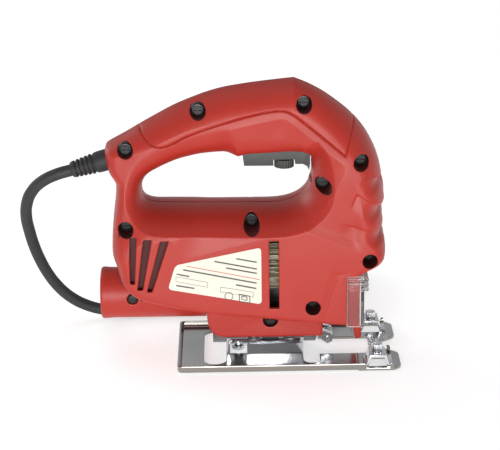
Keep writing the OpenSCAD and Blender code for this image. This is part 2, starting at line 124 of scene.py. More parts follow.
def surface(name, color, color2, rough=(0.35, 0.45), metallic=0.0, grain=1800.0, bump=0.05, cloud=60.0, stretch=None, coat=0.0, spec=0.5, depth=0.0002):
    m, nt, b = new_mat(name)
    vec = tex_coord(nt)
    if stretch:
        mp = nt.nodes.new("ShaderNodeMapping")
        mp.inputs["Scale"].default_value = stretch
        nt.links.new(vec, mp.inputs["Vector"])
        gvec = mp.outputs["Vector"]
    else:
        gvec = vec
    big = noise(nt, vec, cloud, 4.0, 0.55)
    fine = noise(nt, gvec, grain, 2.0, 0.6)
    nt.links.new(ramp(nt, big, 0.3, 0.75, color, color2), b.inputs["Base Color"])
    mix = nt.nodes.new("ShaderNodeMath")
    mix.operation = "MULTIPLY_ADD"
    mix.inputs[1].default_value = 0.6
    nt.links.new(fine, mix.inputs[0])
    nt.links.new(span(nt, big, 0.0, 0.4), mix.inputs[2])
    nt.links.new(span(nt, mix.outputs[0], rough[0], rough[1]), b.inputs["Roughness"])
    b.inputs["Metallic"].default_value = metallic
    b.inputs["Specular IOR Level"].default_value = spec
    b.inputs["Coat Weight"].default_value = coat
    bn = nt.nodes.new("ShaderNodeBump")
    bn.inputs["Strength"].default_value = bump
    bn.inputs["Distance"].default_value = depth
    nt.links.new(fine, bn.inputs["Height"])
    nt.links.new(bn.outputs["Normal"], b.inputs["Normal"])
    return m


M = {}
M["red"] = surface("red_satin_plastic", (0.400, 0.025, 0.015), (0.362, 0.022, 0.013), (0.36, 0.50), grain=2600, bump=0.16, cloud=26, spec=0.38)
# a darker red for recess walls and the slot shield: painted shade, not a colour the plastic has
M["red_deep"] = surface("red_plastic_painted_recess_shade", (0.085, 0.007, 0.005), (0.060, 0.005, 0.004), (0.55, 0.70), grain=2200, bump=0.2, cloud=40)
M["dark"] = surface("dark_grey_plastic", (0.042, 0.047, 0.043), (0.033, 0.038, 0.034), (0.42, 0.55), grain=2200, bump=0.12, cloud=40)
M["black"] = surface("black_plastic", (0.016, 0.016, 0.018), (0.010, 0.010, 0.012), (0.38, 0.55), grain=2400, bump=0.12, cloud=50)
M["rubber"] = surface("cord_rubber_black", (0.020, 0.020, 0.022), (0.013, 0.013, 0.015), (0.50, 0.68), grain=3200, bump=0.18, cloud=60)
M["screw"] = surface("black_screw_steel", (0.012, 0.012, 0.013), (0.008, 0.008, 0.009), (0.22, 0.38), metallic=0.2, grain=1500, bump=0.10, cloud=120)
M["zinc"] = surface("zinc_plated_steel", (0.74, 0.75, 0.77), (0.60, 0.62, 0.65), (0.13, 0.28), metallic=1.0, grain=700, bump=0.030, cloud=38, stretch=(0.16, 1.0, 1.0))
M["shoe"] = surface("bright_pressed_steel", (0.56, 0.55, 0.55), (0.40, 0.40, 0.41), (0.12, 0.27), metallic=1.0, grain=600, bump=0.035, cloud=22, stretch=(0.12, 1.0, 1.0))
# faces turned towards ±Y, such as the flanges' outer faces, are mixed to a darker grey: painted shade for how those
# faces catch the light
m = M["shoe"]
nt = m.node_tree
b = nt.nodes["Principled BSDF"]
old = b.inputs["Base Color"].links[0].from_socket
nsep = nt.nodes.new("ShaderNodeSeparateXYZ")
nt.links.new(nt.nodes["Texture Coordinate"].outputs["Normal"], nsep.inputs[0])
nabs = nt.nodes.new("ShaderNodeMath")
nabs.operation = "ABSOLUTE"
nt.links.new(nsep.outputs["Y"], nabs.inputs[0])
painted_side_shade = nt.nodes.new("ShaderNodeMix")
painted_side_shade.data_type = "RGBA"
nt.links.new(nabs.outputs[0], painted_side_shade.inputs[0])
nt.links.new(old, painted_side_shade.inputs[6])
painted_side_shade.inputs[7].default_value = (0.31, 0.30, 0.27, 1)
nt.links.new(painted_side_shade.outputs[2], b.inputs["Base Color"])
M["steel"] = surface("machined_steel", (0.55, 0.56, 0.58), (0.43, 0.44, 0.46), (0.20, 0.36), metallic=1.0, grain=1200, bump=0.06, cloud=70)
M["spring"] = surface("spring_steel", (0.50, 0.51, 0.53), (0.40, 0.41, 0.43), (0.25, 0.38), metallic=1.0, grain=1500, bump=0.05, cloud=90)
M["lam"] = surface("laminated_steel", (0.30, 0.31, 0.33), (0.20, 0.21, 0.23), (0.35, 0.50), metallic=0.9, grain=900, bump=0.35, cloud=60, stretch=(2.5, 0.05, 0.05))
M["copper"] = surface("enamelled_copper", (0.46, 0.15, 0.045), (0.33, 0.095, 0.03), (0.25, 0.42), metallic=0.85, grain=900, bump=0.35, cloud=80, stretch=(0.2, 1.4, 1.4))
M["brass"] = surface("brass", (0.60, 0.42, 0.16), (0.50, 0.34, 0.12), (0.24, 0.38), metallic=1.0, grain=1100, bump=0.06, cloud=70)
M["bronze"] = surface("sintered_bronze", (0.42, 0.26, 0.11), (0.33, 0.20, 0.08), (0.38, 0.55), metallic=0.9, grain=1900, bump=0.22, cloud=90)
M["carbon"] = surface("carbon_graphite", (0.035, 0.035, 0.037), (0.022, 0.022, 0.024), (0.55, 0.72), grain=2500, bump=0.25, cloud=90)
M["fan"] = surface("fan_nylon", (0.50, 0.45, 0.31), (0.40, 0.36, 0.24), (0.38, 0.52), grain=1600, bump=0.08, cloud=60)
M["cast"] = surface("cast_aluminium", (0.24, 0.245, 0.25), (0.17, 0.175, 0.18), (0.34, 0.52), metallic=0.9, grain=1400, bump=0.30, cloud=60)
M["label"] = surface("label_film", (0.70, 0.675, 0.575), (0.665, 0.64, 0.54), (0.30, 0.42), grain=1500, bump=0.03, cloud=40, coat=0.15)
M["ink"] = surface("label_ink_dark", (0.06, 0.055, 0.05), (0.09, 0.08, 0.07), (0.35, 0.5), grain=1500, bump=0.03, cloud=300)
M["ink_red"] = surface("label_ink_red", (0.50, 0.03, 0.03), (0.42, 0.03, 0.03), (0.35, 0.5), grain=1500, bump=0.03, cloud=300)


def clear_material():
    m, nt, b = new_mat("clear_guard_plastic")
    vec = tex_coord(nt)
    b.inputs["Base Color"].default_value = (0.97, 0.98, 0.98, 1)
    b.inputs["Transmission Weight"].default_value = 1.0
    b.inputs["IOR"].default_value = 1.46
    nt.links.new(span(nt, noise(nt, vec, 220.0, 4.0), 0.02, 0.09), b.inputs["Roughness"])
    bn = nt.nodes.new("ShaderNodeBump")
    bn.inputs["Strength"].default_value = 0.05
    bn.inputs["Distance"].default_value = 0.0002
    nt.links.new(noise(nt, vec, 160.0, 3.0), bn.inputs["Height"])
    nt.links.new(bn.outputs["Normal"], b.inputs["Normal"])
    return m


M["clear"] = clear_material()
# whitish, half see-through skin for the guard's rim faces: painted highlight for the glowing edges of clear plastic
M["clear_edge"] = surface("clear_guard_painted_edge_highlight", (0.86, 0.88, 0.89), (0.78, 0.80, 0.82), (0.35, 0.5), grain=1500, bump=0.1, cloud=90)
b = M["clear_edge"].node_tree.nodes["Principled BSDF"]
b.inputs["Transmission Weight"].default_value = 0.45

NODE_MAT = dict(
    housing_right="red", housing_left="red", housing_screws="screw", rating_label="label", dust_tube="red",
    trigger="dark", trigger_pin="steel", speed_dial="dark", lock_button="black", lock_spring="spring", switch_body="black",
    trigger_spring="spring", cord_sleeve="rubber", cord_clamp="black", cord_clamp_screws="zinc", power_cord="rubber",
    cord_coil="rubber", cord_tie="black", mains_plug="rubber", plug_pins="brass", stator_core="lam", field_coils="copper",
    armature_shaft="steel", armature_core="lam", commutator="copper", cooling_fan="fan", pinion="steel", rear_bearing="steel",
    front_bearing="steel", brush_holders="brass", carbon_brushes="carbon", brush_springs="spring", gear_bracket="cast",
    gear_axle="steel", drive_gear="steel", crank_roller="steel", plunger_guide="cast", upper_bush="bronze", lower_bush="bronze",
    plunger="steel", blade_clamp="zinc", clamp_screws="screw", roller_bracket="zinc", roller_pin="steel", guide_roller="steel",
    chip_guard="clear", shoe_plate="shoe", tilt_saddle="zinc", clamp_arches="zinc", tilt_bolt="zinc", tilt_washer="zinc",
    guide_screw_right="zinc", guide_screw_left="zinc", guide_nuts="zinc",
)
for n, o in NODES.items():
    o.data.materials.clear()
    o.data.materials.append(M[NODE_MAT.get(n, "steel")])


# ---------------------------------------------------------------- mesh helpers
def mesh_object(name, V, F, mats, smooth=35, fmat=None):
    """V in millimetres, F a list of faces (or an array of quads)."""
    me = bpy.data.meshes.new(name)
    V = np.asarray(V, np.float64) * 0.001
    if isinstance(F, np.ndarray):
        k = F.shape[1]
        me.vertices.add(len(V))
        me.vertices.foreach_set("co", V.astype(np.float32).ravel())
        me.loops.add(F.size)
        me.loops.foreach_set("vertex_index", F.astype(np.int32).ravel())
        me.polygons.add(len(F))
        me.polygons.foreach_set("loop_start", np.arange(0, F.size, k, dtype=np.int32))
        me.update(calc_edges=True)
    else:
        me.from_pydata([tuple(v) for v in V], [], F)
    me.validate()
    for m in mats if isinstance(mats, (list, tuple)) else [mats]:
        me.materials.append(m)
    if fmat is not None:
        me.polygons.foreach_set("material_index", np.asarray(fmat, np.int32))
    o = bpy.data.objects.new(name, me)
    scene.collection.objects.link(o)
    shade(o, smooth)
    return o


def shade(o, angle=35):
    bpy.ops.object.select_all(action="DESELECT")
    o.select_set(True)
    bpy.context.view_layer.objects.active = o
    bpy.ops.object.shade_smooth_by_angle(angle=math.radians(angle), keep_sharp_edges=False)


def bake(o):
    """Applies the modifiers of o."""
    dg = bpy.context.evaluated_depsgraph_get()
    me = bpy.data.meshes.new_from_object(o.evaluated_get(dg), preserve_all_data_layers=True, depsgraph=dg)
    o.modifiers.clear()
    old = o.data
    o.data = me
    me.name = old.name
    return o


def piece(o, nodes, body=None):
    nodes = [nodes] if isinstance(nodes, str) else nodes
    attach(o, body or BODY[nodes[0]])
    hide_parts(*nodes)
    return o


def soften(node, width=0.35, segments=2, mat=None, angle=30, name=None):
    """A copy of a CAD node with its edges rounded."""
    src = NODES[node]
    me = src.data.copy()
    o = bpy.data.objects.new(name or node + "_soft", me)
    scene.collection.objects.link(o)
    bm = bmesh.new()
    bm.from_mesh(me)
    bmesh.ops.remove_doubles(bm, verts=bm.verts, dist=2e-6)
    bmesh.ops.dissolve_limit(bm, angle_limit=math.radians(0.6), verts=bm.verts, edges=bm.edges)
    bm.to_mesh(me)
    bm.free()
    me.materials.clear()
    me.materials.append(M[mat or NODE_MAT[node]])
    md = o.modifiers.new("bevel", "BEVEL")
    md.width = width * 0.001
    md.segments = segments
    md.limit_method = "ANGLE"
    md.angle_limit = math.radians(angle)
    md.use_clamp_overlap = True
    md.harden_normals = False
    tr = o.modifiers.new("tri", "TRIANGULATE")
    tr.min_vertices = 5
    bake(o)
    shade(o, 32)
    return piece(o, node)


def catmull(P, closed=True, step=1.2, corner=35.0):
    """A smooth line through points; it keeps corners sharper than the given number of degrees."""
    P = np.asarray(P, float)
    n = len(P)
    out = []
    ang = np.zeros(n)
    for i in range(n):
        if not closed and i in (0, n - 1):
            ang[i] = 180
            continue
        a, b = P[i] - P[i - 1], P[(i + 1) % n] - P[i]
        c = np.dot(a, b) / (np.linalg.norm(a) * np.linalg.norm(b) + 1e-12)
        ang[i] = math.degrees(math.acos(max(-1, min(1, c))))
    for i in range(n if closed else n - 1):
        p1, p2 = P[i], P[(i + 1) % n]
        L = np.linalg.norm(p2 - p1)

        def tan(j):
            if ang[j] > corner:
                return None
            return (P[(j + 1) % n] - P[j - 1])

        t1, t2 = tan(i), tan((i + 1) % n)
        m1 = (p2 - p1) if t1 is None else t1 / np.linalg.norm(t1) * L
        m2 = (p2 - p1) if t2 is None else t2 / np.linalg.norm(t2) * L
        k = max(1, int(round(L / step)))
        for t in np.arange(k) / k:
            out.append((2 * t**3 - 3 * t**2 + 1) * p1 + (t**3 - 2 * t**2 + t) * m1 + (-2 * t**3 + 3 * t**2) * p2 + (t**3 - t**2) * m2)
    if not closed:
        out.append(P[-1])
    return np.array(out)


def poly_sdf(P, X, Z):
    P = np.asarray(P, np.float64)
    Q = np.roll(P, -1, 0)
    d2 = np.full(X.shape, 1e9)
    ins = np.zeros(X.shape, bool)
    for (ax, az), (bx, bz) in zip(P, Q):
        ex, ez = bx - ax, bz - az
        wx, wz = X - ax, Z - az
        t = np.clip((wx * ex + wz * ez) / (ex * ex + ez * ez + 1e-12), 0, 1)
        d2 = np.minimum(d2, (wx - t * ex) ** 2 + (wz - t * ez) ** 2)
        if abs(bz - az) > 1e-9:
            ins ^= ((az > Z) != (bz > Z)) & (X < ex * (Z - az) / ez + ax)
    return np.where(ins, -1.0, 1.0) * np.sqrt(d2)


def line_dist(P, X, Z):
    """Distance to an open line, which side of it (positive to its left), and the share of its length there."""
    P = np.asarray(P, np.float64)
    d2 = np.full(X.shape, 1e9)
    side = np.zeros(X.shape)
    s = np.zeros(X.shape)
    L = np.r_[0, np.cumsum(np.linalg.norm(np.diff(P, axis=0), axis=1))]
    for i in range(len(P) - 1):
        (ax, az), (bx, bz) = P[i], P[i + 1]
        ex, ez = bx - ax, bz - az
        wx, wz = X - ax, Z - az
        t = np.clip((wx * ex + wz * ez) / (ex * ex + ez * ez + 1e-12), 0, 1)
        q = (wx - t * ex) ** 2 + (wz - t * ez) ** 2
        near = q < d2
        d2 = np.where(near, q, d2)
        side = np.where(near, np.sign(ex * wz - ez * wx), side)
        s = np.where(near, (L[i] + t * (L[i + 1] - L[i])) / L[-1], s)
    return np.sqrt(d2), side, s


def tps(ctrl, X, Z, lam=0.5):
    c = np.array(ctrl, float)
    n = len(c)
    r2_ = ((c[:, None, :2] - c[None, :, :2]) ** 2).sum(-1)
    K = 0.5 * r2_ * np.log(r2_ + 1e-9) + lam * np.eye(n)
    Pm = np.c_[np.ones(n), c[:, :2]]
    A = np.block([[K, Pm], [Pm.T, np.zeros((3, 3))]])
    w = np.linalg.solve(A, np.r_[c[:, 2], 0, 0, 0])
    out = w[n] + w[n + 1] * X + w[n + 2] * Z
    for i in range(n):
        q = (X - c[i, 0]) ** 2 + (Z - c[i, 1]) ** 2
        out = out + w[i] * 0.5 * q * np.log(q + 1e-9)
    return out


def sstep(a, b, x):
    t = np.clip((x - a) / (b - a), 0, 1)
    return t * t * (3 - 2 * t)


class Volume:
    """A solid as a field on a grid, in millimetres: negative inside."""

    def __init__(self, lo, hi, h):
        self.h = h
        self.lo = np.array(lo, float)
        n = np.ceil((np.array(hi) - self.lo) / h).astype(int) + 1
        self.x, self.y, self.z = [self.lo[i] + h * np.arange(n[i]) for i in range(3)]
        self.F = np.full(tuple(n), 9.0, np.float32)

    def block(self, lo, hi):
        sl, ax = [], []
        for c, a, b in zip((self.x, self.y, self.z), lo, hi):
            i, j = np.searchsorted(c, a - 2 * self.h), np.searchsorted(c, b + 2 * self.h)
            sl.append(slice(i, j))
            ax.append(c[i:j])
        X, Y, Z = np.meshgrid(*ax, indexing="ij", sparse=True)
        return tuple(sl), X, Y, Z

    def cut(self, lo, hi, fn):
        sl, X, Y, Z = self.block(lo, hi)
        self.F[sl] = np.maximum(self.F[sl], -fn(X, Y, Z))

    def add(self, lo, hi, fn):
        sl, X, Y, Z = self.block(lo, hi)
        self.F[sl] = np.minimum(self.F[sl], fn(X, Y, Z))

    def mesh(self):
        F, h = self.F, self.h
        S = F < 0
        c = np.zeros([k - 1 for k in F.shape], np.int8)
        for i in (0, 1):
            for j in (0, 1):
                for k in (0, 1):
                    c += S[i : S.shape[0] - 1 + i, j : S.shape[1] - 1 + j, k : S.shape[2] - 1 + k]
        I, J, K = np.nonzero((c > 0) & (c < 8))
        idx = np.full(c.shape, -1, np.int32)
        idx[I, J, K] = np.arange(len(I))
        corner = {}
        for i in (0, 1):
            for j in (0, 1):
                for k in (0, 1):
                    corner[i, j, k] = F[I + i, J + j, K + k]
        P = np.zeros((len(I), 3))
        W = np.zeros(len(I))
        for a in (0, 1, 2):
            for p in (0, 1):
                for q in (0, 1):
                    A = [p, q]
                    A.insert(a, 0)
                    B = list(A)
                    B[a] = 1
                    fa, fb = corner[tuple(A)], corner[tuple(B)]
                    hit = (fa < 0) != (fb < 0)
                    t = np.where(hit, fa / np.where(hit, fa - fb, 1), 0)
                    for d in range(3):
                        P[:, d] += hit * (A[d] + (t if d == a else 0))
                    W += hit
        P = P / W[:, None] + np.c_[I, J, K]
        V = self.lo + h * P
        quads = []
        for a in (0, 1, 2):
            b, c2 = (a + 1) % 3, (a + 2) % 3
            s0 = [slice(None)] * 3
            s1 = [slice(None)] * 3
            s0[a], s1[a] = slice(0, -1), slice(1, None)
            A, B = S[tuple(s0)], S[tuple(s1)]
            e = np.argwhere(A != B)
            e = e[(e[:, b] > 0) & (e[:, c2] > 0) & (e[:, b] < F.shape[b] - 1) & (e[:, c2] < F.shape[c2] - 1)]
            flip = A[tuple(e.T)]
            g = []
            for db, dc in ((0, 0), (1, 0), (1, 1), (0, 1)):
                q = e.copy()
                q[:, b] -= db
                q[:, c2] -= dc
                g.append(idx[tuple(q.T)])
            Q = np.stack(g, 1)
            Q[~flip] = Q[~flip][:, ::-1]
            quads.append(Q)
        return V, np.concatenate(quads)


def box_f(lo, hi, r=0.0):
    c, s = (np.array(lo) + np.array(hi)) / 2, (np.array(hi) - np.array(lo)) / 2 - r

    def fn(X, Y, Z):
        q = [abs(X - c[0]) - s[0], abs(Y - c[1]) - s[1], abs(Z - c[2]) - s[2]]
        o = np.sqrt(np.maximum(q[0], 0) ** 2 + np.maximum(q[1], 0) ** 2 + np.maximum(q[2], 0) ** 2)
        return o + np.minimum(np.maximum(np.maximum(q[0], q[1]), q[2]), 0) - r

    return fn


def cyl_y(x, z, r, y0, y1):
    return lambda X, Y, Z: np.maximum(np.sqrt((X - x) ** 2 + (Z - z) ** 2) - r, np.maximum(y0 - Y, Y - y1))


def decimate(o, target_faces):
    n = sum(len(p.vertices) - 2 for p in o.data.polygons)
    if n > target_faces:
        md = o.modifiers.new("dec", "DECIMATE")
        md.ratio = target_faces / n
        bake(o)
    return o


# ---------------------------------------------------------------- the lead, its coil and its plug
CR = 3.5
route = [[-124, 0, 115], [-133.6, 0, 112.2], [-142, 1.5, 107.6], [-148.4, 5, 100.6], [-152.4, 10, 91.5], [-154, 16, 81], [-153.5, 22, 70],
    [-152, 27.5, 58.5], [-149.5, 32.5, 47.5], [-146, 37, 37], [-141, 41, 27], [-134, 44.5, 18], [-125, 47.5, 11], [-114, 50, 6.4],
    [-102, 52, 4.4], [-89, 53.6, 3.8], [-75, 54.8, 3.8], [-60, 55.8, 3.8], [-45, 56.4, 4], [-28, 56.8, 4.4], [-12, 57, 4.7]]
tail = [[-12, 132.6, 18.4], [-26, 133, 17.4], [-38, 133.8, 14.4], [-48, 134.6, 11.2], [-58, 135, 9.4], [-64, 135, 9.2]]
coil = []
for i in range(0, 7 * 12 + 7):
    t = i / 12.0
    a = math.radians(-90 + 360 * t)
    if t < 2:
        r, z = 43 - 7 * t, 4.7
    elif t < 3:
        r, z = 29, 4.7 + 7 * math.sin((t - 2) * math.pi / 2)
    elif t < 5:
        r, z = 29 + 7 * (t - 3), 11.7
    elif t < 6:
        r, z = 43 - 3.5 * (t - 5), 11.7 + 6.2 * math.sin((t - 5) * math.pi / 2)
    else:
        r, z = 39.5 - 7 * (t - 6) / 1.5, 17.9 + 0.4 * (t - 6) / 1.5
    coil.append([4 + r * math.cos(a), 100 + r * math.sin(a), z])
line = route + coil + tail
cu = bpy.data.curves.new("power_cord_line", "CURVE")
cu.dimensions = "3D"
cu.bevel_depth = CR * 0.001
cu.bevel_resolution = 5
cu.resolution_u = 6
cu.use_fill_caps = True
sp = cu.splines.new("BEZIER")
sp.bezier_points.add(len(line) - 1)
for bp, p in zip(sp.bezier_points, line):
    bp.co = Vector(p) * 0.001
    bp.handle_left_type = bp.handle_right_type = "AUTO"
cu.materials.append(M["rubber"])
lead = bpy.data.objects.new("power_cord_lead", cu)
scene.collection.objects.link(lead)
piece(lead, ["power_cord", "cord_coil"])


def lathe(name, profile, origin, axis, mats, seg=48, fmat=None, smooth=35, closed=False):
    """Turns a profile of (distance along the axis, radius) round an axis. mm."""
    ax = Vector(axis).normalized()
    q = ax.to_track_quat("Z", "Y").to_matrix()
    V, F, fm = [], [], []
    for d, r in profile:
        for k in range(seg):
            a = 2 * math.pi * k / seg
            V.append(tuple(Vector(origin) + q @ Vector((r * math.cos(a), r * math.sin(a), d))))
    n = len(profile)
    for i in range(n if closed else n - 1):
        j = (i + 1) % n
        for k in range(seg):
            F.append((i * seg + k, i * seg + (k + 1) % seg, j * seg + (k + 1) % seg, j * seg + k))
            fm.append(0 if fmat is None else fmat[i])
    if not closed:
        F.append(tuple(range(seg - 1, -1, -1)))
        fm.append(0)
        F.append(tuple((n - 1) * seg + k for k in range(seg)))
        fm.append(0)
    return mesh_object(name, V, F, mats, smooth, fm)


# sleeve: a plain root with a tapered, ringed end
s_or, s_ax = (-100, 0, 122), (-0.96, 0, -0.28)
prof = [(-5, 3.4), (-5, 6.3), (-4.2, 6.3), (-4.2, 7.2), (-2.4, 7.2), (-2.4, 6.3), (7.2, 6.25), (9.6, 6.1), (10.4, 5.9)]
for k in range(5):
    d = 11.0 + 2.55 * k
    r = 5.95 - 0.24 * k
    prof += [(d, r - 0.75), (d + 0.7, r - 0.8), (d + 1.0, r - 0.15), (d + 1.3, r), (d + 2.1, r - 0.05), (d + 2.4, r - 0.2)]
prof += [(24.2, 4.7), (24.8, 4.4), (25, 4.0), (25, 3.4)]
sleeve = lathe("cord_sleeve_ringed", prof, s_or, s_ax, M["rubber"], 40, smooth=30, closed=True)
piece(sleeve, "cord_sleeve")

# plug: a round body with flats and a moulded grip
prof = [(0, 8.2), (0.5, 8.8), (1.2, 9.0), (10, 9.0)]
for k in range(6):
    d = 11.0 + 2.2 * k
    r = 8.9 - 0.42 * k
    prof += [(d, r - 0.6), (d + 0.7, r - 0.6), (d + 1.0, r), (d + 1.8, r - 0.05)]
prof += [(25, 5.9), (29, 5.2), (31.4, 4.9), (32, 4.3)]
plug_core = lathe("mains_plug_core", prof, (-90, 135, 9.2), (1, 0, 0), M["rubber"], 40, smooth=32)
vol = Volume((-92, 121, -1), (-76, 149, 20), 0.45)
vol.add((-90, 122, 0), (-78, 148, 19), box_f((-89.9, 123.1, 0.5), (-78.2, 146.9, 17.9), 3.4))
for s in (-1, 1):
    vol.cut((-91, 130, 4), (-88, 140, 14), lambda X, Y, Z, s=s: np.maximum(np.sqrt((Y - 135 - 9.5 * s) ** 2 + (Z - 9.2) ** 2) - 3.2, X + 89.0))
V, Q = vol.mesh()
plug_head = mesh_object("mains_plug_head", V, Q, M["rubber"], 40)
for o in (plug_core, plug_head):
    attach(o, BODY["mains_plug"])
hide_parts("mains_plug")
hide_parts("mains_plug")
for s in (-1, 1):
    pr = [(0, 2.35), (0.0, 2.35), (9.2, 2.35), (9.4, 2.0), (18, 2.0), (18.6, 1.7), (18.9, 1.1), (19, 0.5)]
    p = lathe("plug_pin_%s" % ("right" if s < 0 else "left"), pr, (-89.6, 135 + 9.5 * s, 9.2), (-1, 0, 0), [M["rubber"], M["brass"]], 28, fmat=[0, 0, 0, 1, 1, 1, 1])
    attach(p, BODY["plug_pins"])
    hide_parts("plug_pins")
tie = soften("cord_tie", 0.5, 3)

# ---------------------------------------------------------------- the case
H = 0.42
OUT = [(-98.3, 62), (-96.6, 55.2), (-93.4, 50.0), (-88.6, 46.2), (-82.5, 43.6), (-75.5, 41.9), (-59.5, 38.3), (-49.5, 36.3), (0, 30.4), (33, 26.8),
    (40.8, 26.8), (40.8, 57.9), (44, 59.4), (48.4, 61.2), (52.4, 63.2), (55.0, 65.6), (56.0, 69), (56.2, 76.2), (54.6, 79.0), (53.4, 80.2),
    (54.4, 82.4), (55.3, 86), (55.3, 89.2), (54.4, 93.0), (53.2, 94.6), (54.9, 96.4), (56.1, 99), (56.0, 103), (55.0, 108.6), (53.3, 111.6),
    (54.1, 113.4), (52.6, 120.4), (50.1, 127), (45.6, 135.6), (41, 141.9), (36.4, 146.8), (31.8, 150.9), (22.6, 158), (13.5, 163.5), (4.6, 167.7),
    (-4.6, 167), (-15.9, 166), (-27.3, 164.6), (-36.4, 163.1), (-45.5, 160.6), (-54.7, 157.2), (-63.9, 153.3), (-73.2, 148.3), (-82.5, 143),
    (-91.8, 137.2), (-96.5, 134.5), (-101.2, 131.9), (-103.6, 130.3), (-104.3, 128.2), (-104.3, 125.4), (-103.6, 120.4), (-102.3, 115.6),
    (-100.2, 112.2), (-98.4, 109.4), (-98.5, 104), (-99.4, 96.5), (-100.4, 88.8), (-101.2, 77), (-100.9, 69)]
OPEN = [(-83.3, 99.8), (-81.4, 97.0), (-77.4, 95.2), (-70, 94.7), (-50.5, 94.2), (-22, 93.8), (-8, 93.7), (0, 94.9), (6.2, 97.7), (10.0, 101.2),
    (12.3, 105.2), (13.4, 110), (13.8, 116), (13.8, 121.4), (12.8, 125.0), (9.4, 127.4), (4, 128.0), (-10, 127.2), (-24.0, 126.5), (-26.2, 125.7),
    (-28.0, 125.0), (-30.4, 125.2), (-33.4, 125.4), (-38.3, 125.7), (-46.3, 125.3), (-51, 124.7), (-55.6, 123.7), (-60.2, 122.6), (-64.9, 121),
    (-69.5, 119.1), (-74.2, 116.8), (-78.9, 114.2), (-81.8, 111.4), (-83.5, 107.4), (-83.9, 103.4)]
screws = [[-91.8, 130.6, 17, 6.5], [-50.3, 152.4, 16.5, 8.5], [9.4, 156.4, 17, 8.5], [41, 124.6, 25, 9], [20.2, 110, 23, 11],
    [-20.9, 87.6, 25, 13], [-92.6, 86.6, 24, 9], [46.4, 66.8, 29, 12], [13.8, 38.8, 31, 12], [-10.6, 27.5, 21, 3.6]]


